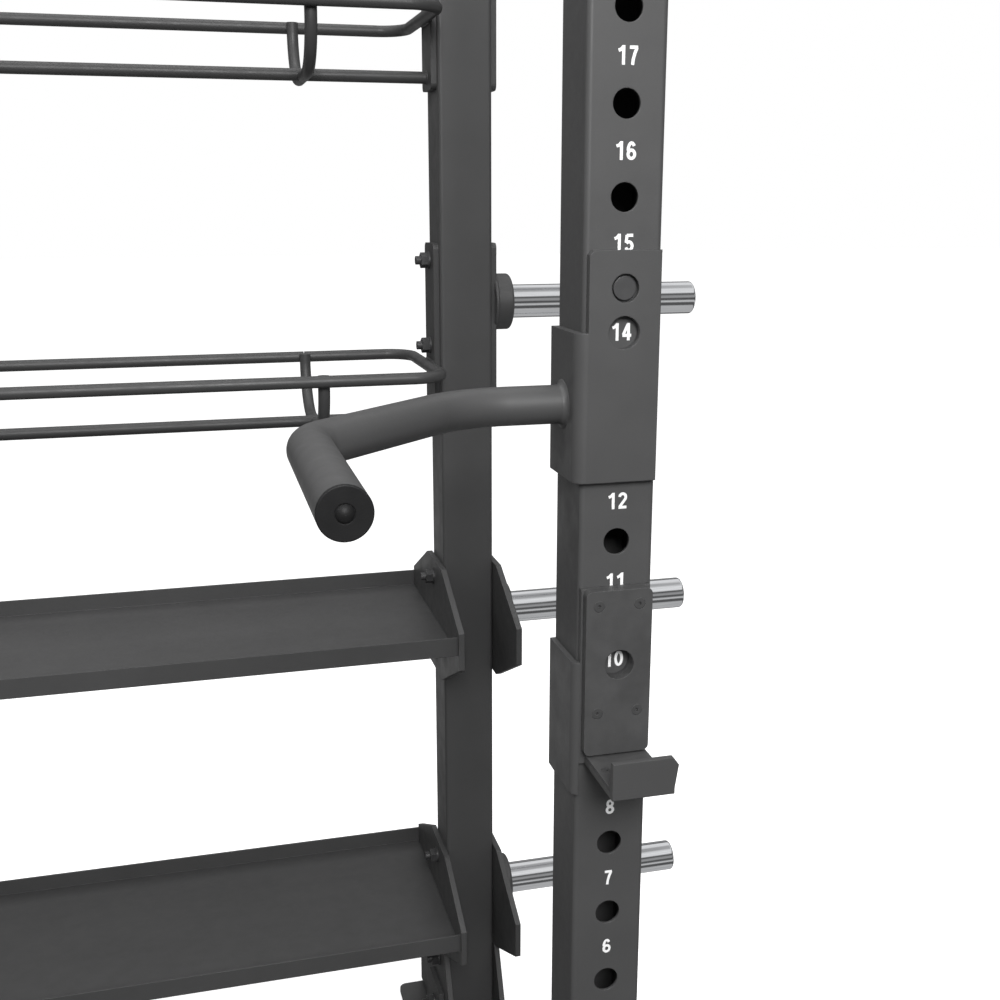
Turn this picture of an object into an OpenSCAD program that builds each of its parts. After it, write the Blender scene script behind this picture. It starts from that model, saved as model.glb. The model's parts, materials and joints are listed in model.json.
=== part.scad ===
// Power cage with storage: four square uprights on two floor runners, with weight pegs,
// wire cradles and shelves between the rear pair, and lift-off hooks and dip handles in front.
// +X is to the right, the front faces -Y, and the floor is at Z = 0.

/* [Frame] */
// Height of the uprights above the floor
upright_h = 2360; // [2300:10:2500]
// Clear width between the left and right uprights
inner_w = 1090; // [1040:10:1200]
// Distance from front to rear upright, centre to centre
depth_cc = 625; // [615:5:800]
// Width of the square frame tube
tube = 75; // [75:1:80]
// Wall thickness of the frame tube
tube_wall = 3; // [2.5:0.5:5]
// Outer corner radius of the frame tube
tube_r = 5; // [4:0.5:8]
// Thickness of the structural plates
plate_t = 8; // [6:1:10]

/* [Adjustment holes] */
// Distance between neighbouring holes
hole_pitch = 80; // [80:1:80]
// Diameter of the adjustment holes
hole_d = 26; // [26:0.5:28]
// Height of the lowest hole
first_hole_z = 200; // [180:5:200]
// Number of holes in each front upright
hole_count = 25; // [20:1:25]

/* [Base] */
// Length of the runner ahead of the front uprights
front_overhang = 75; // [60:5:150]
// Length of the runner behind the rear uprights
rear_overhang = 160; // [160:5:300]
// Width of a foot plate
foot_w = 160; // [150:5:200]
// Length of a foot plate
foot_l = 120; // [100:5:120]
// Distance between the two floor anchor holes of a foot plate
anchor_spacing = 124; // [120:2:130]
// Diameter of the floor anchor holes
anchor_d = 14; // [12:1:18]

/* [Storage] */
// Height of the lowest weight pegs
level_first = 318.5; // [318:0.5:330]
// Height from one storage level to the next
level_pitch = 468; // [460:1:470]
// Diameter of a weight peg
peg_d = 48; // [48:0.5:50]
// Length of a weight peg, from its bracket plate to its end
peg_len = 310; // [250:5:400]
// Diameter of the collar behind a peg
collar_d = 80; // [75:1:90]
// Depth of the collar behind a peg
collar_t = 25; // [20:1:40]
// Rod diameter of the wire cradles
rod_d = 16; // [12:0.5:18]
// Distance between the two top rods of a wire cradle
cradle_w = 270; // [240:5:300]
// Distance between the two lips of a shelf
shelf_depth = 330; // [300:5:340]

/* [Lift-off pieces] */
// Number of the adjustment hole that holds the barbell hooks
hook_hole = 10; // [4:1:10]
// Number of the adjustment hole that holds the dip handles
dip_hole = 14; // [14:1:20]
// Gap between a lift-off bracket and its upright
hang_gap = 0.3; // [0.2:0.1:0.5]
// Outer diameter of the dip handle tube
dip_d = 37; // [32:1:40]
// Reach of the dip handle ahead of the upright
dip_reach = 330; // [300:5:360]

/* [Hidden] */
SIDES = ["left", "right"];
LEVELS = ["1", "2", "3", "4"];

$fn = 48;
eps = 0.01;
lap = 1;
slip = 0.1;
in_x = inner_w / 2;
mid_x = in_x + tube / 2;
out_x = in_x + tube;
// y runs back from the front face of the front uprights
rear_y = depth_cc;
rear_mid_y = rear_y + tube / 2;
cap_t = 4;
runner_start = -front_overhang;
runner_end = rear_y + tube + rear_overhang;
front_y = -(runner_end + cap_t - dip_reach) / 2;

foot_t = 8;
runner_top = foot_t + tube;
flange_out = 50;
foot_bolt_y = [-25, tube + 25];
cap_plug = 12;

bolt_d = 12;
bolt_hole_d = 13;
nut_af = 19;
nut_t = 10;
washer_d = 24;
washer_t = 2.5;
head_d = 24;
head_t = 6;
head_r = 16;
hex_head_t = 10;
hex_washer_t = 2;
thread_end = 7;

bolt_rise = 60;
plate_w = 60;
plate_up = 84;
plate_down = 180;
oct_half_l = 167;
oct_half_h = 86;
oct_end_h = 27;
oct_flat = 51;
oct_mid_y = 657.5;
sheet_t = 3;
lip_h = 24;
tray_y = 496.5;
floor_drop = 4;
loop_drop = 88;
keel_drop = 163;
loop_gap = 14;
loop_r = 40;
cross_wire_x = 369;
cross_wire_r = 70;
cross_wire_drop = 77;
weld_lap = 2;
slit_w = 1.6;
peg_neck_r = peg_d / 2 - 0.5;

beam_z = 2280;
beam_plate_h = 160;
beam_bolt = 58;
bar_z = 2130;
bar_d = 34;
bar_plate_h = 110;
bar_bolt = 38;
short_bolt = 24;

gusset_top = 228;
gusset_bottom = 12;
gusset_top_half = 42.5;
gusset_slope = 0.3;
gusset_shoulder = 90;
end_plate_h = 140;
gusset_bolts = [[0, 190], [0, 110], [-70, 45], [70, 45]];

steel_t = 6;
pin_d = 25.8;
pin_len = 46;
flange_depth = 70;
hook_w = 70;
hook_reach = 88;
bend_edge = 3;
eye_d = 30;
dip_eye_d = 30;
liner_t = 10;
cup_liner_t = 4;
cup_x = 7;
cup_w = 65.5;
cup_floor_w = 62;
screw_d = 4.8;
screw_hole_d = 5;
screw_head_d = 11.5;
screw_head_t = 3;
screw_socket = 3.4;
dip_plate_w = 72;

function hole_z(n) = first_hole_z + hole_pitch * n;
function number_z(n) = first_hole_z + hole_pitch * (n - 0.5);
function level_z(i) = level_first + level_pitch * i;

frame_paint = [0.17, 0.17, 0.175];
dark_paint = [0.12, 0.12, 0.125];
plastic = [0.05, 0.05, 0.055];
bright = [0.85, 0.86, 0.88];
hardware = [0.10, 0.10, 0.11];

// Moves a shape from the front face of the uprights to the cage's own origin.
module placed() {
    translate([0, front_y, 0]) children();
}

// Turns a shape made for the right side into the one for side s.
module on_side(s) {
    mirror([s == "left" ? 1 : 0, 0, 0]) children();
}

module rounded_rect(w, d, r) {
    square([w - 2 * r, d], center = true);
    square([w, d - 2 * r], center = true);
    for (x = [-1, 1], y = [-1, 1])
        translate([x * (w / 2 - r), y * (d / 2 - r)]) circle(r = r);
}

// A square tube along +Z with its axis on the origin.
module box_tube(length) {
    linear_extrude(height = length) difference() {
        rounded_rect(tube, tube, tube_r);
        rounded_rect(tube - 2 * tube_wall, tube - 2 * tube_wall, tube_r - tube_wall);
    }
}

module along_x(x, y, z) {
    translate([x, y, z]) rotate([0, 90, 0]) children();
}

module along_y(x, y, z) {
    translate([x, y, z]) rotate([-90, 0, 0]) children();
}

// A flat plate in the YZ plane, t thick in +X from x, with its outline as the children.
module plate_yz(x, t) {
    translate([x, 0, 0]) rotate([90, 0, 90]) linear_extrude(height = t) children();
}

// A flat plate in the XZ plane, t thick in +Y from y, with its outline as the children.
module plate_xz(y, t) {
    translate([0, y + t, 0]) rotate([90, 0, 0]) linear_extrude(height = t) children();
}

/* ---------- uprights ---------- */

module front_upright(s) {
    color(frame_paint) placed() on_side(s) difference() {
        translate([mid_x, tube / 2, runner_top + plate_t]) box_tube(upright_h - runner_top - plate_t);
        for (n = [0 : hole_count - 1])
            along_y(mid_x, -1, hole_z(n)) cylinder(d = hole_d, h = tube + 2);
        for (z = [-beam_bolt, beam_bolt]) {
            along_y(mid_x, tube / 2, beam_z + z) cylinder(d = bolt_hole_d, h = tube);
            along_x(in_x - 1, tube / 2, beam_z + z) cylinder(d = bolt_hole_d, h = tube / 2);
        }
        for (z = [-bar_bolt, bar_bolt])
            along_x(in_x - 1, tube / 2, bar_z + z) cylinder(d = bolt_hole_d, h = tube / 2);
    }
}

// Plates welded under the front uprights and bolted to the runners.
module upright_base_plates() {
    color(frame_paint) placed() for (s = SIDES) on_side(s)
        translate([mid_x, tube / 2, runner_top]) linear_extrude(height = plate_t) difference() {
            rounded_rect(tube, tube + 2 * flange_out, 4);
            for (y = foot_bolt_y) translate([0, y - tube / 2]) circle(d = bolt_hole_d);
        }
}

module rear_upright(s) {
    color(frame_paint) placed() on_side(s) difference() {
        translate([mid_x, rear_mid_y, runner_top]) box_tube(upright_h - runner_top);
        for (i = [0 : len(LEVELS) - 1], z = [-bolt_rise, bolt_rise])
            along_x(in_x - 1, rear_mid_y, level_z(i) + z) cylinder(d = bolt_hole_d, h = tube + 2);
        for (b = [0, 1])
            along_x(in_x - 1, rear_mid_y, gusset_bolts[b][1]) cylinder(d = bolt_hole_d, h = tube + 2);
        for (z = [-beam_bolt, beam_bolt]) {
            along_y(mid_x, rear_y - 1, beam_z + z) cylinder(d = bolt_hole_d, h = tube / 2);
            along_x(in_x - 1, rear_mid_y, beam_z + z) cylinder(d = bolt_hole_d, h = tube / 2);
        }
    }
}

module upright_top_caps() {
    color(plastic) placed() for (s = SIDES, y = [0, rear_y]) on_side(s)
        translate([mid_x, y + tube / 2, upright_h]) {
            linear_extrude(height = cap_t) rounded_rect(tube, tube, tube_r);
            translate([0, 0, -cap_plug]) linear_extrude(height = cap_plug + eps)
                rounded_rect(tube - 2 * tube_wall, tube - 2 * tube_wall, tube_r - tube_wall);
        }
}

/* ---------- base ---------- */

module base_runner(s) {
    color(frame_paint) placed() on_side(s) difference() {
        along_y(mid_x, runner_start, foot_t + tube / 2) box_tube(runner_end - runner_start);
        for (y = foot_bolt_y)
            translate([mid_x, y, foot_t + tube / 2]) cylinder(d = bolt_hole_d, h = tube);
        for (b = [2, 3])
            along_x(in_x - 1, rear_mid_y + gusset_bolts[b][0], gusset_bolts[b][1])
                cylinder(d = bolt_hole_d, h = tube + 2);
    }
}

module runner_end_caps() {
    color(plastic) placed() for (s = SIDES) on_side(s) for (e = [0, 1])
        translate([mid_x, e == 0 ? runner_start : runner_end, foot_t + tube / 2])
            rotate([e == 0 ? 90 : -90, 0, 0]) {
                linear_extrude(height = cap_t) rounded_rect(tube, tube, tube_r);
                translate([0, 0, -cap_plug]) linear_extrude(height = cap_plug + eps)
                    rounded_rect(tube - 2 * tube_wall, tube - 2 * tube_wall, tube_r - tube_wall);
            }
}

module foot_plates() {
    color(dark_paint) placed() for (s = SIDES) on_side(s) for (y = [0, runner_end - foot_l / 2])
        translate([mid_x, y, 0]) linear_extrude(height = foot_t) difference() {
            rounded_rect(foot_w, foot_l, 12);
            for (x = [-1, 1]) translate([x * anchor_spacing / 2, 0]) circle(d = anchor_d);
        }
}

module gusset_outline() {
    bottom_half = gusset_top_half + gusset_slope * (gusset_top - gusset_bottom);
    polygon([
        [-gusset_top_half, gusset_top],
        [gusset_top_half, gusset_top],
        [bottom_half, gusset_shoulder],
        [bottom_half, gusset_bottom],
        [-bottom_half, gusset_bottom],
        [-bottom_half, gusset_shoulder],
    ]);
}

module base_gussets(s) {
    color(frame_paint) placed() on_side(s) for (x = [in_x - plate_t, out_x])
        translate([0, rear_mid_y, 0]) plate_yz(x, plate_t) difference() {
            gusset_outline();
            for (b = gusset_bolts) translate(b) circle(d = bolt_hole_d);
        }
}

module rear_base_crossmember() {
    half = in_x - 2 * plate_t;
    color(frame_paint) placed() {
        along_x(-half, rear_mid_y, foot_t + tube / 2) box_tube(2 * half);
        for (s = SIDES) on_side(s) plate_yz(half, plate_t) difference() {
            translate([rear_y, foot_t]) square([tube, end_plate_h]);
            translate([rear_mid_y, gusset_bolts[1][1]]) circle(d = bolt_hole_d);
        }
    }
}

/* ---------- top ---------- */

module beam_plate(h, bolt) {
    difference() {
        rounded_rect(tube, h, 4);
        for (z = [-bolt, bolt]) translate([0, z]) circle(d = bolt_hole_d);
    }
}

module top_crossmember(y) {
    half = in_x - plate_t;
    color(frame_paint) placed() {
        along_x(-half, y, beam_z) box_tube(2 * half);
        for (s = SIDES) on_side(s) translate([0, y, beam_z]) plate_yz(half, plate_t)
            beam_plate(beam_plate_h, beam_bolt);
    }
}

module front_top_crossmember() {
    top_crossmember(tube / 2);
}

module rear_top_crossmember() {
    top_crossmember(rear_mid_y);
}

module top_side_beam(s) {
    color(frame_paint) placed() on_side(s) {
        along_y(mid_x, tube + plate_t, beam_z) box_tube(rear_y - tube - 2 * plate_t);
        for (y = [tube, rear_y - plate_t]) translate([mid_x, 0, beam_z]) plate_xz(y, plate_t)
            beam_plate(beam_plate_h, beam_bolt);
    }
}

module pull_up_bar() {
    half = in_x - plate_t;
    color(frame_paint) placed() {
        along_x(-half, tube / 2, bar_z) cylinder(d = bar_d, h = 2 * half);
        for (s = SIDES) on_side(s) translate([0, tube / 2, bar_z]) plate_yz(half, plate_t)
            beam_plate(bar_plate_h, bar_bolt);
    }
}

/* ---------- storage ---------- */

// Long octagon of the shelf levels, on the peg's height.
module octagon_outline() {
    polygon([
        [-oct_half_l, -oct_end_h],
        [-oct_flat, -oct_half_h],
        [oct_flat, -oct_half_h],
        [oct_half_l, -oct_end_h],
        [oct_half_l, oct_end_h],
        [oct_flat, oct_half_h],
        [-oct_flat, oct_half_h],
        [-oct_half_l, oct_end_h],
    ]);
}

module bolt_hole_pair() {
    for (z = [-bolt_rise, bolt_rise]) translate([rear_mid_y, z]) circle(d = bolt_hole_d);
}

module side_plate_outline(level) {
    difference() {
        if (level < 2) translate([oct_mid_y, 0]) octagon_outline();
        else translate([rear_mid_y, (plate_up - plate_down) / 2])
            rounded_rect(plate_w, plate_up + plate_down, 8);
        bolt_hole_pair();
    }
}

module collar() {
    edge_r = 4;
    rotate_extrude() difference() {
        translate([peg_neck_r, 0]) square([collar_d / 2 - peg_neck_r, collar_t]);
        translate([collar_d / 2 - edge_r, collar_t - edge_r]) difference() {
            square(edge_r + eps);
            circle(r = edge_r);
        }
    }
}

module peg_bracket(s, level) {
    color(frame_paint) placed() on_side(s) translate([0, 0, level_z(level)]) {
        plate_yz(out_x, plate_t) side_plate_outline(level);
        along_x(out_x + plate_t, rear_mid_y, 0) collar();
    }
}

module weight_peg(s, level) {
    r = peg_d / 2;
    end_r = 4;
    wall = 4;
    end_t = 8;
    neck_l = collar_t + 1;
    color(bright) placed() on_side(s) along_x(out_x + plate_t, rear_mid_y, level_z(level))
        rotate_extrude() difference() {
            union() {
                square([peg_neck_r, peg_len - end_r]);
                translate([0, neck_l]) square([r, peg_len - end_r - neck_l]);
                square([r - end_r, peg_len]);
                translate([r - end_r, peg_len - end_r]) circle(r = end_r);
            }
            translate([-r, -eps]) square([2 * r - wall, peg_len - end_t]);
            translate([-r, -1]) square([r, peg_len + 2]);
        }
}

// The closed top loop of a cradle: two long rods, two end bars and four bends.
// The bends are a hair thinner than the rods, which lap over their ends.
module cradle_loop() {
    x = in_x - loop_gap;
    y = cradle_w / 2;
    rod_x = x - loop_r + lap;
    bar_y = y - loop_r + lap;
    for (m = [-1, 1]) {
        along_x(-rod_x, m * y, 0) cylinder(d = rod_d, h = 2 * rod_x);
        along_y(m * x, -bar_y, 0) cylinder(d = rod_d, h = 2 * bar_y);
        for (n = [-1, 1]) translate([m * (x - loop_r), n * (y - loop_r), 0])
            rotate([0, 0, atan2(n, m) - 45])
                rotate_extrude(angle = 90) translate([loop_r, 0]) circle(d = rod_d - slip);
    }
}

// One leg of a cross wire: down beside the top rod, then a wide bend in under the load.
module cross_wire_leg(inset) {
    r = cross_wire_r;
    bend_z = r - cross_wire_drop;
    translate([0, inset, bend_z - lap]) cylinder(d = rod_d, h = rod_d / 2 - weld_lap - bend_z + lap);
    translate([0, inset - r, bend_z]) rotate([0, 90, 0])
        rotate_extrude(angle = 90) translate([r, 0]) circle(d = rod_d - slip);
}

// A cross wire: two legs and the straight foot between them, across the keel rod.
module cross_wire() {
    inset = cradle_w / 2 - rod_d + weld_lap;
    foot = inset - cross_wire_r + lap;
    for (m = [0, 1]) mirror([0, m, 0]) cross_wire_leg(inset);
    along_y(0, -foot, -cross_wire_drop) cylinder(d = rod_d, h = 2 * foot);
}

module wire_cradle(level) {
    half = in_x - plate_t;
    keel_half = half + weld_lap;
    color(frame_paint) placed() translate([0, 0, level_z(level)]) {
        difference() {
            translate([0, rear_mid_y, -loop_drop]) cradle_loop();
            for (x = [-cross_wire_x, cross_wire_x])
                translate([x - slit_w / 2, rear_mid_y + cradle_w / 2 - rod_d, -loop_drop])
                    cube([slit_w, 2 * rod_d, rod_d]);
        }
        along_x(-keel_half, rear_mid_y, -keel_drop) cylinder(d = rod_d, h = 2 * keel_half);
        for (x = [-cross_wire_x, cross_wire_x]) translate([x, rear_mid_y, -loop_drop]) cross_wire();
        for (s = SIDES) on_side(s) plate_yz(half, plate_t) side_plate_outline(level);
    }
}

module wire_cradle_upper() {
    wire_cradle(3);
}

module wire_cradle_lower() {
    wire_cradle(2);
}

// Section of a folded tray: a floor and two lips.
module tray_outline() {
    half = shelf_depth / 2;
    square([2 * half, sheet_t]);
    for (y = [0, 2 * half - sheet_t]) translate([y, 0]) square([sheet_t, lip_h + sheet_t]);
}

module shelf_tray(level) {
    half = in_x - plate_t;
    color(frame_paint) placed()
        translate([0, tray_y, level_z(level) - floor_drop - sheet_t])
            plate_yz(-half, 2 * half) tray_outline();
}

module shelf_tray_upper() {
    shelf_tray(1);
}

module shelf_tray_lower() {
    shelf_tray(0);
}

module shelf_end_plates() {
    color(frame_paint) placed() for (s = SIDES, level = [0, 1]) on_side(s)
        translate([0, 0, level_z(level)]) plate_yz(in_x - plate_t, plate_t) side_plate_outline(level);
}

/* ---------- fasteners ---------- */

module button_head() {
    rotate_extrude() intersection() {
        translate([0, -head_r]) circle(r = head_r + head_t, $fn = 96);
        square([head_d / 2, head_t]);
    }
}

// A bolt from the outer plate inwards along -X, its head at x = 0.
module through_bolt(grip) {
    rotate([0, 90, 0]) button_head();
    rotate([0, -90, 0]) cylinder(d = bolt_d, h = grip + washer_t + nut_t + thread_end);
}

module nut_and_washer() {
    rotate([0, -90, 0]) difference() {
        union() {
            cylinder(d = washer_d, h = washer_t);
            translate([0, 0, washer_t]) cylinder(d = nut_af / cos(30), h = nut_t, $fn = 6);
        }
        translate([0, 0, -1]) cylinder(d = bolt_d + 0.1, h = washer_t + nut_t + 2);
    }
}

module storage_bolt_places() {
    for (s = SIDES, i = [0 : len(LEVELS) - 1], z = [-bolt_rise, bolt_rise]) on_side(s)
        translate([0, rear_mid_y, level_z(i) + z]) children();
}

module storage_bolts() {
    color(hardware) placed() storage_bolt_places()
        translate([out_x + plate_t, 0, 0]) through_bolt(tube + 2 * plate_t);
}

module storage_nuts() {
    color(hardware) placed() storage_bolt_places()
        translate([in_x - plate_t, 0, 0]) nut_and_washer();
}

module base_bolts() {
    color(hardware) placed() for (s = SIDES, b = gusset_bolts) on_side(s)
        translate([0, rear_mid_y + b[0], b[1]]) {
            extra = b == gusset_bolts[1] ? plate_t : 0;
            translate([out_x + plate_t, 0, 0]) through_bolt(tube + 2 * plate_t + extra);
            translate([in_x - plate_t - extra, 0, 0]) nut_and_washer();
        }
}

// A short hexagon-head bolt along -Z, its head on z = 0.
module short_hex_bolt() {
    cylinder(d = washer_d, h = hex_washer_t);
    translate([0, 0, hex_washer_t]) cylinder(d = nut_af / cos(30), h = hex_head_t, $fn = 6);
    translate([0, 0, -short_bolt]) cylinder(d = bolt_d, h = short_bolt + eps);
}

module frame_bolts() {
    color(hardware) placed() for (s = SIDES) on_side(s) {
        for (z = [-beam_bolt, beam_bolt]) {
            for (y = [tube / 2, rear_mid_y])
                translate([in_x - plate_t, y, beam_z + z]) rotate([0, -90, 0]) short_hex_bolt();
            translate([mid_x, tube + plate_t, beam_z + z]) rotate([-90, 0, 0]) short_hex_bolt();
            translate([mid_x, rear_y - plate_t, beam_z + z]) rotate([90, 0, 0]) short_hex_bolt();
        }
        for (z = [-bar_bolt, bar_bolt])
            translate([in_x - plate_t, tube / 2, bar_z + z]) rotate([0, -90, 0]) short_hex_bolt();
        for (y = foot_bolt_y)
            translate([mid_x, y, runner_top + plate_t]) short_hex_bolt();
    }
}

/* ---------- barbell hooks ---------- */

// Section of a bent bracket: a front flange from the corner to x = w and a side flange
// that runs back beside the upright's inner face. The corner is rounded outside.
module angle_section(w, depth, t, r) {
    difference() {
        union() {
            translate([-hang_gap - t, -hang_gap - t]) square([w + hang_gap + t, t]);
            translate([-hang_gap - t, -hang_gap - t]) square([t, depth + t + hang_gap]);
        }
        translate([-hang_gap - t + r, -hang_gap - t + r]) difference() {
            translate([-r - 1, -r - 1]) square(r + 1);
            circle(r = r);
        }
    }
}

// Locating pin, along +Y into the adjustment hole, its face on y = 0. A boss of diameter
// boss_d and length boss_l stands in front of its full diameter d.
module locating_pin(d, length, boss_d, boss_l) {
    rotate([-90, 0, 0]) rotate_extrude() polygon([
        [0, 0],
        [boss_d / 2 - 0.5, 0],
        [boss_d / 2, 0.5],
        [boss_d / 2, boss_l],
        [d / 2, boss_l],
        [d / 2, length - 4],
        [d / 2 - 4, length],
        [0, length],
    ]);
}

hook_z = hole_z(hook_hole);
hook_eye_z = number_z(hook_hole);
hook_top = hook_eye_z + 76;
hook_floor = hook_eye_z - 105;
hook_side_top = hook_eye_z + 1;
hook_side_bottom = hook_eye_z - 139;
hook_lip_top = hook_eye_z - 68;
hook_face = -hang_gap - steel_t;
screw_spots = [[16, 61], [57, 61], [16, -49], [57, -49]];
pad_screw_x = [17, 57];
pad_screw_y = -45;
pad_top = hook_floor + steel_t + cup_liner_t;
pad_gap = 2;

// A countersunk screw along +Z, its head's face at z = 0.
module liner_screw(grip) {
    difference() {
        union() {
            cylinder(d1 = screw_head_d, d2 = screw_d, h = screw_head_t);
            cylinder(d = screw_d, h = grip);
        }
        translate([0, 0, -1]) cylinder(d = screw_socket, h = screw_head_t, $fn = 6);
    }
}

module liner_screw_hole(grip) {
    translate([0, 0, -1]) cylinder(d = screw_hole_d, h = grip + 2);
    translate([0, 0, -eps]) cylinder(d1 = screw_head_d + 0.2, d2 = screw_hole_d, h = screw_head_t);
}

module hook_bracket(s) {
    color(frame_paint) placed() on_side(s) translate([in_x, 0, 0]) {
        difference() {
            union() {
                translate([0, 0, hook_side_bottom]) linear_extrude(height = hook_side_top - hook_side_bottom)
                    angle_section(1, flange_depth, steel_t, 9);
                translate([1, hook_face, hook_floor]) cube([hook_w, steel_t, hook_top - hook_floor]);
                translate([cup_x, -hook_reach, hook_floor])
                    cube([cup_floor_w, hook_reach + hook_face + eps, steel_t]);
                plate_xz(-hook_reach, steel_t) polygon([
                    [cup_x, hook_floor],
                    [cup_x + cup_floor_w, hook_floor],
                    [cup_x + cup_floor_w, hook_floor + steel_t],
                    [cup_x + cup_w, hook_lip_top - 7.5],
                    [cup_x + cup_w - 5.5, hook_lip_top],
                    [cup_x, hook_lip_top],
                ]);
            }
            along_y(tube / 2, hook_face - 1, hook_eye_z) cylinder(d = eye_d, h = steel_t + 2);
            for (p = screw_spots)
                along_y(p[0], hook_face - 1, hook_eye_z + p[1]) cylinder(d = screw_hole_d, h = steel_t + 2);
            for (x = pad_screw_x) translate([x, pad_screw_y, hook_floor - 1])
                cylinder(d = screw_hole_d, h = steel_t + 2);
        }
    }
}

module hook_liner(s) {
    back = hook_face - liner_t;
    lip_face = -hook_reach + steel_t;
    plate_bottom = pad_top + pad_gap;
    color(plastic) placed() on_side(s) translate([in_x, 0, 0]) {
        difference() {
            translate([hook_w / 2 + 1.5, 0, (hook_top + plate_bottom) / 2]) plate_xz(back, liner_t)
                rounded_rect(hook_w - 3, hook_top - plate_bottom, 6);
            along_y(tube / 2, back - 1, hook_eye_z) cylinder(d = eye_d, h = liner_t + 2);
            for (p = screw_spots) along_y(p[0], back, hook_eye_z + p[1]) liner_screw_hole(liner_t);
        }
        difference() {
            translate([cup_x, lip_face, hook_floor + steel_t]) {
                cube([cup_floor_w, hook_face - lip_face, cup_liner_t]);
                cube([cup_floor_w, cup_liner_t, hook_lip_top - 7.5 - hook_floor - steel_t]);
            }
            for (x = pad_screw_x) translate([x, pad_screw_y, pad_top])
                mirror([0, 0, 1]) liner_screw_hole(cup_liner_t);
        }
    }
}

module hook_pin(s) {
    color(bright) placed() on_side(s) translate([in_x + tube / 2, -hang_gap, hook_z])
        locating_pin(pin_d, pin_len, pin_d - 1, 1);
}

module hook_screws(s) {
    color(hardware) placed() on_side(s) translate([in_x, 0, 0]) {
        for (p = screw_spots)
            along_y(p[0], hook_face - liner_t, hook_eye_z + p[1]) liner_screw(liner_t + steel_t);
        for (x = pad_screw_x) translate([x, pad_screw_y, pad_top])
            mirror([0, 0, 1]) liner_screw(cup_liner_t + steel_t);
    }
}

/* ---------- dip handles ---------- */

dip_pin_z = hole_z(dip_hole);
dip_eye_z = number_z(dip_hole);
dip_top = dip_pin_z + 34;
dip_bottom = dip_eye_z - 140;
dip_side_top = dip_eye_z;
dip_tube_z = dip_eye_z - 70.5;
dip_plate_t = 8;
dip_pin_d = 25;
dip_boss_d = 22;
dip_boss_l = 3;
dip_wall = 3;
dip_root_y = 34;
dip_bend_1 = 43;
dip_bend_r1 = 110;
dip_bend_r2 = 40;
dip_run_1 = 56.7;
dip_run_2 = 150.1;

module dip_bracket(s) {
    face = -hang_gap - dip_plate_t;
    color(frame_paint) placed() on_side(s) translate([in_x, 0, 0]) difference() {
        union() {
            translate([0, 0, dip_bottom]) linear_extrude(height = dip_side_top - dip_bottom)
                angle_section(10, flange_depth, dip_plate_t, 12);
            plate_xz(face, dip_plate_t) polygon([
                [bend_edge, dip_bottom],
                [dip_plate_w, dip_bottom],
                [dip_plate_w, dip_top],
                [bend_edge + 4, dip_top],
                [bend_edge, dip_top - 4],
            ]);
        }
        along_y(tube / 2, face - 1, dip_pin_z) cylinder(d = dip_pin_d, h = dip_plate_t + 2);
        along_y(tube / 2, face - 1, dip_pin_z) cylinder(d = dip_pin_d + 1, h = dip_plate_t - 2);
        along_y(tube / 2, face - 1, dip_eye_z) cylinder(d = dip_eye_d, h = dip_plate_t + 2);
    }
}

// Locating pin whose face sits a little back in the bracket's hole.
module dip_pin(s) {
    recess = 2;
    color(bright) placed() on_side(s)
        translate([in_x + tube / 2, -hang_gap - dip_plate_t + recess, dip_pin_z])
            locating_pin(dip_pin_d, pin_len + dip_plate_t, dip_boss_d, dip_boss_l);
}

// Section of the handle tube, thinner by s outside and inside.
module dip_section(s) {
    difference() {
        circle(d = dip_d - s);
        circle(d = dip_d - 2 * dip_wall + s);
    }
}

// A straight of the handle along -X. It laps over the bends before and after it.
module dip_straight(length, before, after) {
    translate([before, 0, 0]) rotate([0, -90, 0])
        linear_extrude(height = length + before + after) dip_section(0);
}

// A bend that leaves the origin towards -X and turns by the angle a towards the front.
module dip_bend(r, a) {
    translate([0, -r, 0]) rotate([0, 0, 90]) rotate_extrude(angle = a)
        translate([r, 0]) dip_section(slip);
}

// Moves the origin to the end of a bend of radius r and angle a.
module past_bend(r, a) {
    translate([0, -r, 0]) rotate([0, 0, a]) translate([0, r, 0]) children();
}

// The bent handle: straight, bend, straight, bend and grip, in the XY plane.
// It starts on the origin and runs towards -X, then turns to the front.
module dip_path(grip) {
    dip_straight(dip_run_1, 0, lap);
    translate([-dip_run_1, 0, 0]) {
        dip_bend(dip_bend_r1, dip_bend_1);
        past_bend(dip_bend_r1, dip_bend_1) {
            dip_straight(dip_run_2, lap, lap);
            translate([-dip_run_2, 0, 0]) {
                dip_bend(dip_bend_r2, 90 - dip_bend_1);
                past_bend(dip_bend_r2, 90 - dip_bend_1) dip_straight(grip, lap, 0);
            }
        }
    }
}

// How far in front of the handle's root the grip starts.
function dip_grip_start() =
    dip_bend_r1 * (1 - cos(dip_bend_1)) + dip_run_2 * sin(dip_bend_1)
    + dip_bend_r2 * sin(90 - dip_bend_1);

cap_flange = 3;
cap_dome = 3;
dome_r = 6;
dome_drop = 4.5;
dome_groove = 0.8;
dip_grip_len = dip_reach - cap_flange - cap_dome + dip_root_y - dip_grip_start();

module dip_handle(s) {
    color(frame_paint) placed() on_side(s)
        translate([in_x - hang_gap - dip_plate_t, dip_root_y, dip_tube_z]) dip_path(dip_grip_len);
}

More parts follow.
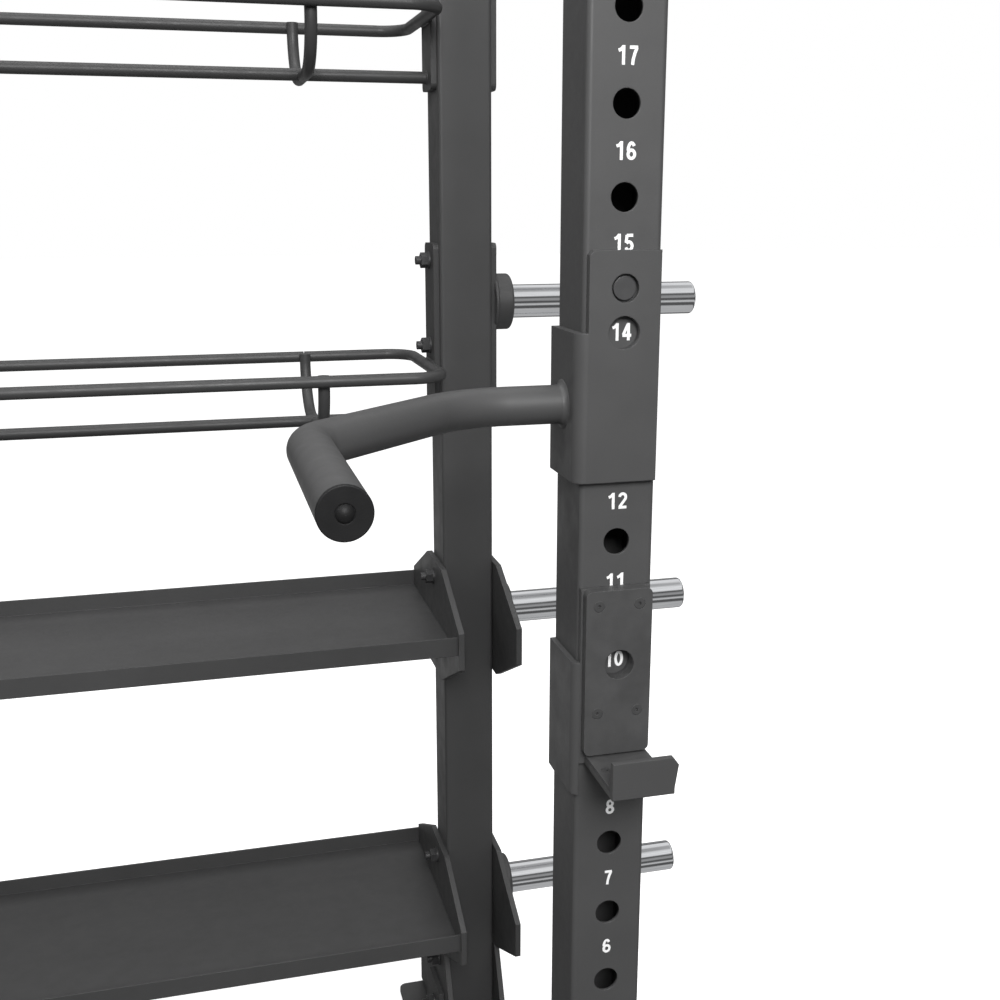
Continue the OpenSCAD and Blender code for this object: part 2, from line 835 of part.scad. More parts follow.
module dip_end_cap(s) {
    grip_x = in_x - hang_gap - dip_plate_t - dip_run_1 - dip_bend_r1 * sin(dip_bend_1)
        - dip_run_2 * cos(dip_bend_1) - dip_bend_r2 * (1 - cos(90 - dip_bend_1));
    color(plastic) placed() on_side(s)
        translate([grip_x, -dip_reach + cap_flange + cap_dome, dip_tube_z]) rotate([90, 0, 0]) {
            translate([0, 0, -cap_plug]) cylinder(d = dip_d - 2 * dip_wall - 0.2, h = cap_plug);
            rotate_extrude() difference() {
                union() {
                    square([dip_d / 2 - 1, cap_flange]);
                    square([dip_d / 2, cap_flange - 1]);
                    translate([dip_d / 2 - 1, cap_flange - 1]) circle(r = 1);
                }
                translate([dome_r, cap_flange - dome_groove]) square([dome_groove, 2]);
            }
            translate([0, 0, cap_flange]) rotate_extrude() intersection() {
                translate([0, -dome_drop]) circle(r = dome_drop + cap_dome);
                square([dome_r, cap_dome]);
            }
        }
}

/* ---------- output ---------- */

for (s = SIDES) {
    front_upright(s);
    rear_upright(s);
    base_runner(s);
    base_gussets(s);
    top_side_beam(s);
    hook_bracket(s);
    hook_liner(s);
    hook_pin(s);
    hook_screws(s);
    dip_bracket(s);
    dip_handle(s);
    dip_pin(s);
    dip_end_cap(s);
    for (i = [0 : len(LEVELS) - 1]) {
        weight_peg(s, i);
        peg_bracket(s, i);
    }
}
rear_base_crossmember();
rear_top_crossmember();
front_top_crossmember();
pull_up_bar();
foot_plates();
upright_base_plates();
upright_top_caps();
runner_end_caps();
wire_cradle_upper();
wire_cradle_lower();
shelf_tray_upper();
shelf_tray_lower();
shelf_end_plates();
storage_bolts();
storage_nuts();
base_bolts();
frame_bolts();
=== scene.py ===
import json
import math

import bmesh
import bpy
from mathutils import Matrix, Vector


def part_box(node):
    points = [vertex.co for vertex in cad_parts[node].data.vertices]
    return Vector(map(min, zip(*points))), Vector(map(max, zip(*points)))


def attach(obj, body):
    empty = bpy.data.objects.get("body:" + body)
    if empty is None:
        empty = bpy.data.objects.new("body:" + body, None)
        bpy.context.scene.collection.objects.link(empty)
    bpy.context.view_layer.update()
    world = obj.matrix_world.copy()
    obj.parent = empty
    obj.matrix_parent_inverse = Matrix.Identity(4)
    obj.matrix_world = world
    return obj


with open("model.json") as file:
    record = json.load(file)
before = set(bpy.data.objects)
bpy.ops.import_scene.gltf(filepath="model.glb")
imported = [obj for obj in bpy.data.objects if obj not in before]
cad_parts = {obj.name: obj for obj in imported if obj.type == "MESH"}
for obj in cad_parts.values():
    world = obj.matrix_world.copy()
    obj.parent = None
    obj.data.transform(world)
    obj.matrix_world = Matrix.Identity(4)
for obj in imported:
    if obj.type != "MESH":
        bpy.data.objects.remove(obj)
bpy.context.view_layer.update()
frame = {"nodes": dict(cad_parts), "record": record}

SIDES = (("left", -1), ("right", 1))
HOLE_PITCH = 0.080
FIRST_HOLE_Z = 0.200
HOLE_COUNT = 25
LEVELS = [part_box("weight_peg_right_%d" % n) for n in (1, 2, 3, 4)]
LEVEL_Z = [(lo[2] + hi[2]) / 2 for lo, hi in LEVELS]
PEG_Y = (LEVELS[0][0][1] + LEVELS[0][1][1]) / 2
FRONT_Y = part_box("front_top_crossmember")[0][1]
INNER_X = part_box("rear_upright_right")[0][0]
OUTER_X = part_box("rear_upright_right")[1][0]
MID_X = (INNER_X + OUTER_X) / 2
PLATE = 0.008
TUBE = 0.075
HALF_TUBE = TUBE / 2
BEAD_INSET = 0.004  # how far a bead stays short of a tube's corners


# ---------------------------------------------------------------- materials


class Shader:
    """A small helper that builds one node material."""

    def __init__(self, name):
        self.mat = bpy.data.materials.new(name)
        self.mat.use_nodes = True
        self.tree = self.mat.node_tree
        self.tree.nodes.clear()
        self.out = self.node("ShaderNodeOutputMaterial")
        self.bsdf = self.node("ShaderNodeBsdfPrincipled")
        self.link(self.bsdf.outputs[0], self.out.inputs[0])
        self.coord = self.node("ShaderNodeTexCoord").outputs["Object"]

    def node(self, kind):
        return self.tree.nodes.new(kind)

    def link(self, a, b):
        self.tree.links.new(a, b)

    def noise(self, scale, detail=3.0, rough=0.55, stretch=None):
        n = self.node("ShaderNodeTexNoise")
        n.inputs["Scale"].default_value = scale
        n.inputs["Detail"].default_value = detail
        n.inputs["Roughness"].default_value = rough
        source = self.coord
        if stretch:
            m = self.node("ShaderNodeMapping")
            m.inputs["Scale"].default_value = stretch
            self.link(self.coord, m.inputs["Vector"])
            source = m.outputs[0]
        self.link(source, n.inputs["Vector"])
        return n.outputs["Fac"]

    def cells(self, scale):
        n = self.node("ShaderNodeTexVoronoi")
        n.inputs["Scale"].default_value = scale
        self.link(self.coord, n.inputs["Vector"])
        return n.outputs["Distance"]

    def ramp(self, fac, stops):
        r = self.node("ShaderNodeValToRGB")
        els = r.color_ramp.elements
        while len(els) < len(stops):
            els.new(0.5)
        for e, (pos, col) in zip(els, stops):
            e.position = pos
            e.color = (*col, 1) if len(col) == 3 else col
        self.link(fac, r.inputs[0])
        return r.outputs[0]

    def remap(self, fac, lo, hi, a=0.0, b=1.0):
        m = self.node("ShaderNodeMapRange")
        m.inputs["From Min"].default_value = a
        m.inputs["From Max"].default_value = b
        m.inputs["To Min"].default_value = lo
        m.inputs["To Max"].default_value = hi
        self.link(fac, m.inputs["Value"])
        return m.outputs[0]

    def mix(self, fac, a, b, blend="MIX"):
        m = self.node("ShaderNodeMix")
        m.data_type = "RGBA"
        m.blend_type = blend
        for socket, value in ((m.inputs[0], fac), (m.inputs[6], a), (m.inputs[7], b)):
            if hasattr(value, "default_value"):
                self.link(value, socket)
            elif isinstance(value, (int, float)):
                socket.default_value = value
            else:
                socket.default_value = (*value, 1)
        return m.outputs[2]

    def math(self, op, a, b=0.0):
        m = self.node("ShaderNodeMath")
        m.operation = op
        for socket, value in ((m.inputs[0], a), (m.inputs[1], b)):
            if hasattr(value, "default_value"):
                self.link(value, socket)
            else:
                socket.default_value = value
        return m.outputs[0]

    def rounded(self, radius):
        b = self.node("ShaderNodeBevel")
        b.samples = 4
        b.inputs["Radius"].default_value = radius
        return b.outputs[0]

    def edges(self, bevel_normal):
        """1 on an edge, 0 on the flat: how far the rounded normal leaves the true one."""
        geo = self.node("ShaderNodeNewGeometry")
        dot = self.node("ShaderNodeVectorMath")
        dot.operation = "DOT_PRODUCT"
        self.link(bevel_normal, dot.inputs[0])
        self.link(geo.outputs["Normal"], dot.inputs[1])
        return self.remap(dot.outputs["Value"], 1.0, 0.0, 0.80, 0.995)

    def bumps(self, normal, *layers):
        for height, strength, distance in layers:
            b = self.node("ShaderNodeBump")
            b.inputs["Strength"].default_value = strength
            b.inputs["Distance"].default_value = distance
            self.link(height, b.inputs["Height"])
            if normal is not None:
                self.link(normal, b.inputs["Normal"])
            normal = b.outputs[0]
        self.link(normal, self.bsdf.inputs["Normal"])

    def set(self, **values):
        names = {
            "color": "Base Color",
            "rough": "Roughness",
            "metal": "Metallic",
            "spec": "Specular IOR Level",
        }
        for key, value in values.items():
            socket = self.bsdf.inputs[names[key]]
            if hasattr(value, "default_value"):
                self.link(value, socket)
            elif isinstance(value, (int, float)):
                socket.default_value = value
            else:
                socket.default_value = (*value, 1)


def powder_coat(name, base, radius=0.0012, scuff=0.0, grain=1.0):
    """Charcoal powder coat: fine orange peel, faint mottling and a painted highlight, the edges
    painted lighter in patches.
    """
    s = Shader(name)
    dark = tuple(c * 0.95 for c in base)
    light = tuple(c * 1.05 for c in base)
    mottle = s.ramp(s.noise(11.0, 4.0), [(0.30, dark), (0.70, light)])
    speck = s.remap(s.noise(1500.0, 2.0), 0.93, 1.07, 0.3, 0.7)
    color = s.mix(1.0, mottle, s.mix(speck, (0.0, 0.0, 0.0), (1.0, 1.0, 1.0)), "MULTIPLY")
    bevel = s.rounded(radius)
    edge = s.edges(bevel)
    # Painted highlight: the edges are painted lighter in patches, in the colour itself.
    painted_edge_highlight = s.math("MULTIPLY", edge, s.remap(s.noise(140.0, 4.0, 0.7), 0.0, 0.35, 0.42, 0.68))
    color = s.mix(painted_edge_highlight, color, tuple(min(1.0, c * 1.9 + 0.01) for c in base))
    rough = s.remap(s.noise(38.0, 3.0), 0.42, 0.54, 0.3, 0.7)
    if scuff:
        rub = s.noise(16.0, 6.0, 0.7, stretch=(1.0, 2.2, 1.0))
        mask = s.remap(rub, 0.0, scuff, 0.58, 0.74)
        color = s.mix(mask, color, tuple(c * 0.80 for c in base))
        rough = s.math("SUBTRACT", rough, s.math("MULTIPLY", mask, 0.08))
    s.set(color=color, rough=rough, spec=0.40)
    fine, coarse = s.noise(1100.0, 2.0), s.noise(320.0, 2.0)
    s.bumps(bevel, (fine, 0.16 * grain, 0.00035), (coarse, 0.10 * grain, 0.0006))
    return s.mat


def chrome():
    """Polished chrome plate with the faint lengthwise drag of plates sliding on."""
    s = Shader("peg_chrome")
    drag = s.noise(900.0, 3.0, stretch=(0.02, 1.0, 1.0))
    color = s.ramp(drag, [(0.35, (0.70, 0.71, 0.73)), (0.65, (0.80, 0.81, 0.83))])
    rough = s.remap(drag, 0.06, 0.11, 0.35, 0.7)
    s.set(color=color, metal=1.0, rough=rough)
    s.bumps(s.rounded(0.0015), (drag, 0.02, 0.0002))
    return s.mat


def pin_steel():
    """Turned, blackened steel with fine lathe rings."""
    s = Shader("pin_steel")
    turn = s.noise(2200.0, 2.0)
    color = s.ramp(s.noise(60.0, 4.0), [(0.3, (0.040, 0.040, 0.041)), (0.7, (0.056, 0.056, 0.057))])
    s.set(color=color, metal=0.1, rough=s.remap(turn, 0.36, 0.5, 0.3, 0.7))
    s.bumps(s.rounded(0.0008), (turn, 0.15, 0.0002))
    return s.mat


def black_hardware():
    """Black-oxide fasteners with a faint oily variation and a painted highlight, the corners
    painted lighter in patches.
    """
    s = Shader("black_hardware")
    bevel = s.rounded(0.0006)
    tone = s.ramp(s.noise(120.0, 4.0), [(0.3, (0.034, 0.034, 0.035)), (0.7, (0.052, 0.052, 0.053))])
    # Painted highlight: the corners are painted lighter in patches.
    painted_corner_highlight = s.math("MULTIPLY", s.edges(bevel), s.remap(s.noise(400.0, 3.0), 0.0, 0.7, 0.45, 0.7))
    color = s.mix(painted_corner_highlight, tone, (0.16, 0.16, 0.165))
    s.set(color=color, metal=0.2, rough=s.remap(s.noise(200.0, 3.0), 0.38, 0.52, 0.3, 0.7))
    s.bumps(bevel, (s.noise(1800.0, 2.0), 0.12, 0.0002))
    return s.mat


def moulded_plastic(name, base, rough_lo, rough_hi, grain, spec=0.4):
    """Black moulded plastic with a fine spark-eroded texture and a painted highlight, the edges
    painted lighter.
    """
    s = Shader(name)
    dark = tuple(c * 0.85 for c in base)
    light = tuple(c * 1.2 for c in base)
    # Painted highlight: the edges are painted lighter, evenly all round.
    painted_highlight_tone = tuple(c * 2.6 + 0.01 for c in base)
    tone = s.ramp(s.noise(30.0, 3.0), [(0.3, dark), (0.7, light)])
    bevel = s.rounded(0.0008)
    pale = s.mix(s.math("MULTIPLY", s.edges(bevel), 0.35), tone, painted_highlight_tone)
    s.set(color=pale, rough=s.remap(s.noise(90.0, 3.0), rough_lo, rough_hi, 0.3, 0.7), spec=spec)
    s.bumps(bevel, (s.cells(grain), 0.18, 0.0002), (s.noise(2600.0, 2.0), 0.12, 0.0001))
    return s.mat


def number_paint():
    """White pad-printed paint: not quite even, a little thin at places."""
    s = Shader("number_paint")
    thin = s.noise(700.0, 4.0, 0.7)
    color = s.ramp(thin, [(0.28, (0.62, 0.62, 0.62)), (0.42, (0.86, 0.86, 0.86))])
    s.set(color=color, rough=s.remap(s.noise(300.0, 2.0), 0.45, 0.6, 0.3, 0.7))
    s.bumps(None, (thin, 0.1, 0.0001))
    return s.mat


PAINT = (0.060, 0.060, 0.0605)
MATERIALS = {
    "frame_paint": powder_coat("frame_paint", PAINT, 0.0012),
    "plate_paint": powder_coat("plate_paint", tuple(c * 0.96 for c in PAINT), 0.0014),
    "wire_paint": powder_coat("wire_paint", tuple(c * 0.74 for c in PAINT), 0.0006, grain=0.7),
    "shelf_paint": powder_coat("shelf_paint", tuple(c * 0.86 for c in PAINT), 0.0010, scuff=0.35),
    "peg_chrome": chrome(),
    "pin_steel": pin_steel(),
    "black_hardware": black_hardware(),
    "cap_plastic": moulded_plastic("cap_plastic", (0.008, 0.008, 0.0083), 0.46, 0.58, 900.0, 0.2),
    "liner_plastic": moulded_plastic("liner_plastic", (0.052, 0.052, 0.0525), 0.50, 0.62, 700.0),
    "number_paint": number_paint(),
    "screw_black": moulded_plastic("screw_black", (0.041, 0.041, 0.0415), 0.46, 0.58, 1400.0),
}

slots = {p["node"]: p["material_slot"] for p in frame["record"]["subparts"]}
for node, obj in frame["nodes"].items():
    look = "screw_black" if node.startswith("hook_screws") else slots[node]
    obj.data.materials.clear()
    obj.data.materials.append(MATERIALS[look])


# ---------------------------------------------------------------- made pieces


def make(name, verts, faces, body, slot, material=None, smooth=True):
    """One visible piece that rides on a body."""
    mesh = bpy.data.meshes.new(name)
    mesh.from_pydata([tuple(v) for v in verts], [], faces)
    bm = bmesh.new()
    bm.from_mesh(mesh)
    bmesh.ops.recalc_face_normals(bm, faces=bm.faces)
    bm.to_mesh(mesh)
    bm.free()
    for p in mesh.polygons:
        p.use_smooth = smooth
    obj = bpy.data.objects.new(name, mesh)
    bpy.context.scene.collection.objects.link(obj)
    mesh.materials.append(MATERIALS[material or slot])
    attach(obj, body)
    return obj


def tube_mesh(path, radii, closed, sides=10):
    """Rings of points round a path, as (verts, faces). Open ends are closed by a flat face."""
    verts, faces = [], []
    count = len(path)
    for i, p in enumerate(path):
        a = path[(i - 1) % count] if closed or i else path[0]
        b = path[(i + 1) % count] if closed or i < count - 1 else path[-1]
        t = (b - a).normalized()
        u = t.orthogonal().normalized() if i == 0 else (u - t * u.dot(t)).normalized()
        w = t.cross(u).normalized()
        for k in range(sides):
            q = 2 * math.pi * k / sides
            verts.append(p + (u * math.cos(q) + w * math.sin(q)) * radii[i])
    rings = count if closed else count - 1
    for i in range(rings):
        j = (i + 1) % count
        for k in range(sides):
            m = (k + 1) % sides
            faces.append((i * sides + k, i * sides + m, j * sides + m, j * sides + k))
    if not closed:
        faces.append(tuple(range(sides)))
        faces.append(tuple((count - 1) * sides + k for k in range(sides)))
    return verts, faces


class Beads:
    """Weld beads of one body, gathered in one mesh."""

    def __init__(self):
        self.verts, self.faces = [], []

    def add(self, verts, faces):
        base = len(self.verts)
        self.verts += verts
        self.faces += [tuple(base + i for i in f) for f in faces]

    def ring(self, centre, axis, radius, bead, pitch=0.0035):
        """A rippled bead round an axis."""
        axis = Vector(axis).normalized()
        u = axis.orthogonal().normalized()
        w = axis.cross(u)
        ripples = max(12, int(2 * math.pi * radius / pitch))
        n = ripples * 4
        path, radii = [], []
        for i in range(n):
            q = 2 * math.pi * i / n
            path.append(Vector(centre) + (u * math.cos(q) + w * math.sin(q)) * radius)
            wave = abs(math.sin(q * ripples / 2))
            slow = math.sin(q * 3 + radius * 90)
            radii.append(bead * (0.86 + 0.14 * wave + 0.06 * slow))
        self.add(*tube_mesh(path, radii, True, 8))

    def line(self, a, b, bead, pitch=0.0035):
        """A rippled bead along a straight line, thinner towards its ends."""
        a, b = Vector(a), Vector(b)
        length = (b - a).length
        n = max(8, int(length / pitch) * 4)
        path, radii = [], []
        for i in range(n + 1):
            f = i / n
            path.append(a.lerp(b, f))
            wave = abs(math.sin(math.pi * f * length / pitch))
            taper = min(1.0, math.sqrt(max(0.02, min(f, 1 - f) * length / bead / 1.2)))
            slow = math.sin(f * 9 + length * 70)
            radii.append(bead * taper * (0.86 + 0.14 * wave + 0.05 * slow))
        self.add(*tube_mesh(path, radii, False, 8))

    def make(self, name, body, slot):
        return make(name, self.verts, self.faces, body, slot)


def lathe(profile, centre, axis, steps=32):
    """(verts, faces) of a profile of (radius, height) turned round an axis."""
    axis = Vector(axis).normalized()
    u = axis.orthogonal().normalized()
    w = axis.cross(u)
    verts, faces = [], []
    for r, h in profile:
        for k in range(steps):
            q = 2 * math.pi * k / steps
            verts.append(Vector(centre) + axis * h + (u * math.cos(q) + w * math.sin(q)) * r)
    for i in range(len(profile) - 1):
        for k in range(steps):
            m = (k + 1) % steps
            a, b = i * steps, (i + 1) * steps
            faces.append((a + k, a + m, b + m, b + k))
    faces.append(tuple(range(steps)))
    faces.append(tuple((len(profile) - 1) * steps + k for k in range(steps)))
    return verts, faces


# Hole numbers, one mesh per upright: plain upright figures made of strokes. Widths and points
# are in parts of a figure's height, and depths are in metres.
STROKE = 0.175
FIGURE_WIDTH = 0.56
FIGURE_STEP = 0.66
SUNK = 0.00002  # the foot of a strip lies this far inside the steel
RAISED = 0.00006
LAYER = 0.00001  # each further strip is this much higher, so that crossings don't flicker
NUMBER_HEIGHT = 0.0160


def arc(cx, cy, rx, ry, start, end, steps=14):
    """Points along an elliptical arc, from one angle to another, in degrees."""
    points = []
    for i in range(steps + 1):
        q = math.radians(start + (end - start) * i / steps)
        points.append((cx + rx * math.cos(q), cy + ry * math.sin(q)))
    return points


def turned(strokes):
    """The same strokes turned by half a turn."""
    return [[(FIGURE_WIDTH - x, 1.0 - y) for x, y in line] for line in strokes]


# Each figure stands in a cell 0.56 wide and 1.0 high, and its strokes are centre lines.
SIX = [arc(0.28, 0.31, 0.195, 0.2225, 0, 360, 28), arc(0.28, 0.50, 0.195, 0.4125, 180, 38)]
FIGURES = {
    "0": [arc(0.28, 0.50, 0.195, 0.4125, 0, 360, 32)],
    "1": [[(0.35, 0.0), (0.35, 1.0)], [(0.06, 0.735), (0.20, 0.785), (0.35, 0.94)]],
    "2": [
        arc(0.28, 0.70, 0.195, 0.2125, 172, -38) + [(0.10, 0.12)],
        [(0.03, 0.0875), (0.53, 0.0875)],
    ],
    "3": [arc(0.27, 0.715, 0.175, 0.1975, 158, -90), arc(0.27, 0.30, 0.195, 0.2125, 90, -158)],
    "4": [[(0.38, 0.0), (0.38, 1.0)], [(0.34, 0.93), (0.06, 0.32)], [(0.01, 0.29), (0.55, 0.29)]],
    "5": [
        [(0.51, 0.9125), (0.13, 0.9125)],
        [(0.145, 0.93), (0.10, 0.50)],
        arc(0.27, 0.32, 0.195, 0.2325, 140, -158),
    ],
    "6": SIX,
    "7": [
        [(0.04, 0.9125), (0.52, 0.9125)],
        [(0.46, 0.90), (0.33, 0.58), (0.25, 0.28), (0.22, 0.0)],
    ],
    "8": [arc(0.28, 0.72, 0.165, 0.1925, 0, 360, 28), arc(0.28, 0.29, 0.195, 0.2025, 0, 360, 28)],
    "9": turned(SIX),
}


def strip(line, width, raised):
    """A thin raised strip along a line, closed all round, as (verts, faces)."""
    loop = math.dist(line[0], line[-1]) < 1e-6
    line = line[:-1] if loop else line
    count = len(line)
    verts, faces = [], []
    for i, (x, y) in enumerate(line):
        before = line[i - 1] if i or loop else line[0]
        after = line[(i + 1) % count] if i < count - 1 or loop else line[-1]
        dx, dy = after[0] - before[0], after[1] - before[1]
        half = width / 2 / math.hypot(dx, dy)
        left, right = (x - dy * half, y + dx * half), (x + dy * half, y - dx * half)
        verts += [(*left, raised), (*right, raised), (*right, -SUNK), (*left, -SUNK)]
    for i in range(count if loop else count - 1):
        j = (i + 1) % count
        for k in range(4):
            m = (k + 1) % 4
            faces.append((4 * i + k, 4 * i + m, 4 * j + m, 4 * j + k))
    if not loop:
        faces += [(0, 1, 2, 3), tuple(4 * count - 4 + k for k in range(4))]
    return verts, faces


def number_strips(text, height):
    """(x, y, out) points and faces of a number, centred on the origin."""
    width = FIGURE_WIDTH + FIGURE_STEP * (len(text) - 1)
    verts, faces, raised = [], [], RAISED
    for i, figure in enumerate(text):
        for line in FIGURES[figure]:
            points, quads = strip(line, STROKE, raised)
            base = len(verts)
            for x, y, out in points:
                shifted = x + FIGURE_STEP * i - width / 2
                verts.append((shifted * height, (y - 0.5) * height, out))
            faces += [tuple(base + k for k in q) for q in quads]
            raised += LAYER
    return verts, faces


for side, m in SIDES:
    verts, faces = [], []
    for n in range(1, HOLE_COUNT):
        z = FIRST_HOLE_Z + HOLE_PITCH * (n - 0.5)
        v, f = number_strips(str(n), NUMBER_HEIGHT)
        base = len(verts)
        verts += [Vector((m * MID_X + x, FRONT_Y - out, z + y)) for x, y, out in v]
        faces += [tuple(base + i for i in q) for q in f]
    make("hole_numbers_" + side, verts, faces, "cage", "frame_paint", "number_paint", smooth=False)

# Weld beads on the cage.
COLLAR_R = 0.040
COLLAR_LENGTH = 0.025
PEG_R = 0.024
PULL_UP_R = 0.017
beads = Beads()
for side, m in SIDES:
    for i, z in enumerate(LEVEL_Z):
        plate_x = OUTER_X + PLATE
        beads.ring((m * plate_x, PEG_Y, z), (1, 0, 0), COLLAR_R, 0.0030)
        beads.ring((m * (plate_x + COLLAR_LENGTH), PEG_Y, z), (1, 0, 0), PEG_R, 0.0020)
    # Round the foot of the front upright.
    flange_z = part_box("base_runner_" + side)[1][2] + PLATE
    x0, x1 = sorted((m * INNER_X, m * OUTER_X))
    y0, y1 = FRONT_Y, FRONT_Y + TUBE
    for y in (y0, y1):
        beads.line((x0 + BEAD_INSET, y, flange_z), (x1 - BEAD_INSET, y, flange_z), 0.0032)
    for x in (x0, x1):
        beads.line((x, y0 + BEAD_INSET, flange_z), (x, y1 - BEAD_INSET, flange_z), 0.0032)
for name in ("front_top_crossmember", "rear_top_crossmember", "rear_base_crossmember"):
    lo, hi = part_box(name)
    y0 = hi[1] - TUBE
    mid_z = (lo[2] + hi[2]) / 2 if name != "rear_base_crossmember" else lo[2] + HALF_TUBE
    for x in (lo[0] + PLATE, hi[0] - PLATE):
        for z in (mid_z - HALF_TUBE, mid_z + HALF_TUBE):
            beads.line((x, y0 + BEAD_INSET, z), (x, hi[1] - BEAD_INSET, z), 0.0028)
lo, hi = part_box("pull_up_bar")
for x in (lo[0] + PLATE, hi[0] - PLATE):
    beads.ring((x, (lo[1] + hi[1]) / 2, (lo[2] + hi[2]) / 2), (1, 0, 0), PULL_UP_R, 0.0026)
for side, m in SIDES:
    lo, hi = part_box("top_side_beam_" + side)
    mid_z = (lo[2] + hi[2]) / 2
    for y in (lo[1] + PLATE, hi[1] - PLATE):
        for z in (mid_z - HALF_TUBE, mid_z + HALF_TUBE):
            beads.line((lo[0] + BEAD_INSET, y, z), (hi[0] - BEAD_INSET, y, z), 0.0028)
beads.make("weld_beads_frame", "cage", "frame_paint")

# Weld beads of the cradles, along the end bars and round the keel rods.
END_BAR_DROP = 0.088
KEEL_DROP = 0.163
ROD_R = 0.008
END_BAR_HALF = 0.027
beads = Beads()
for name, z in (("wire_cradle_lower", LEVEL_Z[2]), ("wire_cradle_upper", LEVEL_Z[3])):
    for side, m in SIDES:
        x = m * (INNER_X - PLATE)
        for dz in (-0.0060, 0.0060):
            bar_z = z - END_BAR_DROP + dz
            beads.line((x, PEG_Y - END_BAR_HALF, bar_z), (x, PEG_Y + END_BAR_HALF, bar_z), 0.0024)
        beads.ring((x, PEG_Y, z - KEEL_DROP), (1, 0, 0), ROD_R, 0.0020)
beads.make("weld_beads_cradles", "cage", "wire_paint")

# Smooth weld fillets where the dip handles leave their brackets.
DIP_AXIS_Y = FRONT_Y + 0.034
FLARE = 0.005
for side, m in SIDES:
    lo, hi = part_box("dip_handle_" + side)
    root_x = hi[0] if m > 0 else lo[0]
    tube_r = (hi[2] - lo[2]) / 2 + 0.0001
    profile = [(tube_r + FLARE, -0.0004)]
    for i in range(13):
        q = math.radians(7.5 * i)
        profile.append((tube_r + FLARE * (1 - math.sin(q)), FLARE * (1 - math.cos(q))))
    verts, faces = lathe(profile, (root_x, DIP_AXIS_Y, (lo[2] + hi[2]) / 2), (-m, 0, 0), 48)
    make("weld_fillet_dip_" + side, verts, faces, "dip_" + side, "plate_paint")

# ---------------------------------------------------------------- stage


def area_light(name, power, size, place, target, size_y=None):
    data = bpy.data.lights.new(name, "AREA")
    data.energy = power
    data.shape = "RECTANGLE"
    data.size = size
    data.size_y = size_y or size
    obj = bpy.data.objects.new(name, data)
    bpy.context.scene.collection.objects.link(obj)
    obj.location = place
    obj.rotation_euler = (Vector(target) - Vector(place)).to_track_quat("-Z", "Y").to_euler()
    return obj


FLOOR_R = 30.0
corners = [(x * FLOOR_R, y * FLOOR_R, 0) for x, y in ((-1, -1), (1, -1), (1, 1), (-1, 1))]
floor_mesh = bpy.data.meshes.new("floor")
floor_mesh.from_pydata(corners, [], [(0, 1, 2, 3)])
floor = bpy.data.objects.new("floor", floor_mesh)
bpy.context.scene.collection.objects.link(floor)
floor.location.z = -0.0005
fs = Shader("floor")
paper = fs.ramp(fs.noise(3.0, 2.0), [(0.3, (0.90, 0.90, 0.90)), (0.7, (0.92, 0.92, 0.92))])
fs.set(color=paper, rough=0.9, spec=0.0)
fs.link(paper, fs.bsdf.inputs["Emission Color"])
fs.bsdf.inputs["Emission Strength"].default_value = 0.58
floor_mesh.materials.append(fs.mat)
floor.visible_diffuse = False
floor.visible_glossy = False

world = bpy.data.worlds.new("studio")
bpy.context.scene.world = world
world.use_nodes = True
wt = world.node_tree
wt.nodes.clear()
w_path = wt.nodes.new("ShaderNodeLightPath")
w_coord = wt.nodes.new("ShaderNodeTexCoord")
w_sep = wt.nodes.new("ShaderNodeSeparateXYZ")
w_height = wt.nodes.new("ShaderNodeMapRange")
w_height.inputs["From Min"].default_value = -1.0
wt.links.new(w_coord.outputs["Generated"], w_sep.inputs[0])
wt.links.new(w_sep.outputs["Z"], w_height.inputs["Value"])


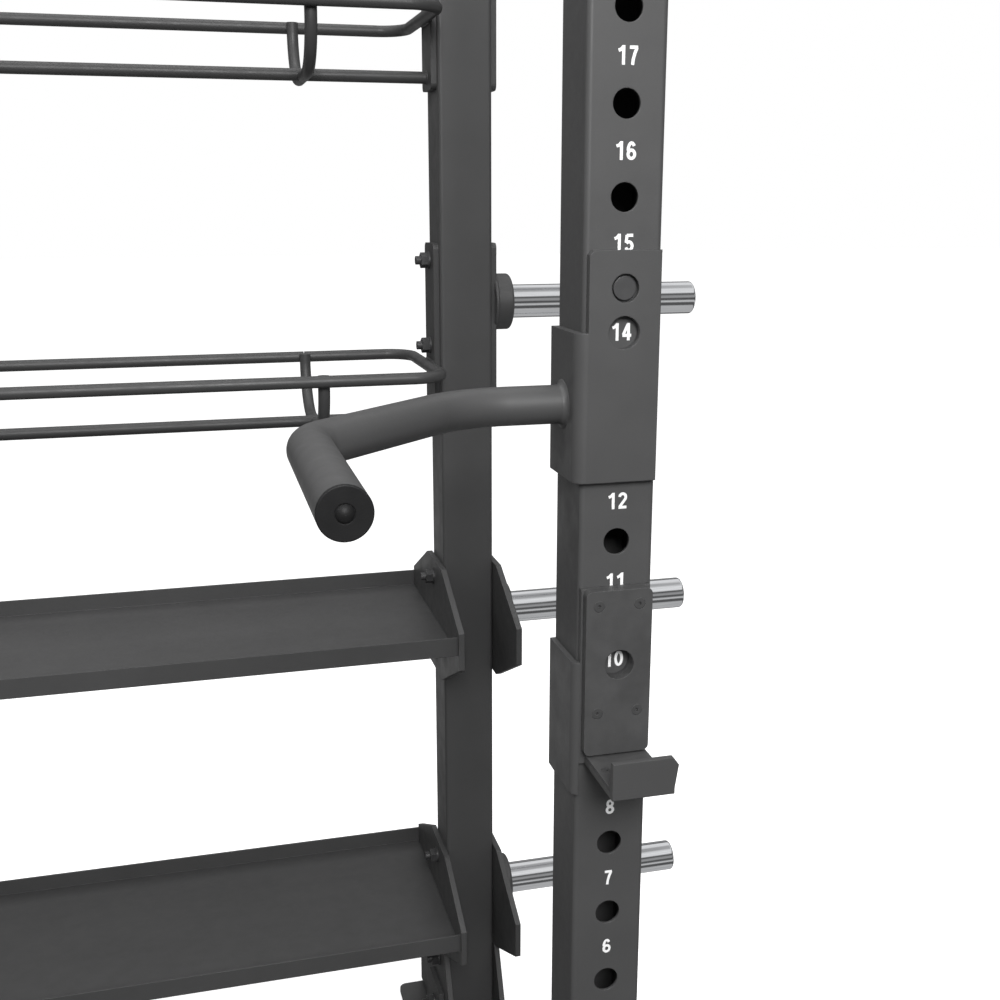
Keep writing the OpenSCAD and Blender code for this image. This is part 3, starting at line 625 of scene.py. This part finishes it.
def sky(stops, strength):
    """A background whose brightness depends on height: 0 straight down, 1 straight up."""
    ramp = wt.nodes.new("ShaderNodeValToRGB")
    elements = ramp.color_ramp.elements
    added = [elements.new(pos) for pos, _ in stops[1:-1]]
    for e, (_, v) in zip([elements[0], *added, elements[-1]], stops):
        e.color = (v, v, v, 1)
    background = wt.nodes.new("ShaderNodeBackground")
    background.inputs["Strength"].default_value = strength
    wt.links.new(w_height.outputs[0], ramp.inputs[0])
    wt.links.new(ramp.outputs[0], background.inputs["Color"])
    return background.outputs[0]


def either(fac, no, yes):
    """One background where fac is 0 and the other where it is 1."""
    mix = wt.nodes.new("ShaderNodeMixShader")
    wt.links.new(fac, mix.inputs[0])
    wt.links.new(no, mix.inputs[1])
    wt.links.new(yes, mix.inputs[2])
    return mix.outputs[0]


# Soft light falls on the paint, the chrome mirrors a room of light and dark bands, and the
# camera sees plain white.
soft = sky([(0.0, 0.07), (0.42, 0.09), (0.55, 0.30), (1.0, 0.85)], 1.0)
bands = sky(
    [
        (0.0, 0.55), (0.12, 0.60), (0.16, 0.10), (0.27, 0.14),
        (0.31, 0.75), (0.38, 0.60), (0.42, 0.12), (0.50, 0.10),
        (0.56, 0.42), (0.66, 0.36), (0.70, 0.12), (0.75, 0.14),
        (0.80, 1.0), (0.93, 1.0), (0.97, 0.45), (1.0, 0.45),
    ],
    0.85,
)
white = sky([(0.0, 1.0), (1.0, 1.0)], 1.0)
seen = either(w_path.outputs["Is Glossy Ray"], soft, bands)
seen = either(w_path.outputs["Is Camera Ray"], seen, white)
wt.links.new(seen, wt.nodes.new("ShaderNodeOutputWorld").inputs[0])

area_light("key", 116.0, 1.2, (0.25, -2.85, 2.75), (0.5, 0.0, 1.4))
area_light("top", 46.0, 2.0, (0.3, 0.2, 4.3), (0.2, 0.2, 1.0))
area_light("side", 14.0, 0.6, (-1.5, -0.6, 2.7), (0.5, 0.0, 1.7), 0.8)

# The lens, place and turn come from the vanishing points of the frame's straight edges.
camera = bpy.data.cameras.new("camera")
camera.sensor_width = 36.0
camera.lens = 43.456
camera.clip_start = 0.05
camera.clip_end = 100.0
camera.dof.use_dof = False
cam = bpy.data.objects.new("camera", camera)
bpy.context.scene.collection.objects.link(cam)
cam.location = (0.19188, -1.31568, 1.39792)
cam.rotation_euler = (math.radians(76.022), 0.0, math.radians(-14.708))
bpy.context.scene.camera = cam

view = bpy.context.scene.view_settings
view.view_transform = "Standard"
view.look = "None"
view.exposure = 0.0
view.gamma = 1.0
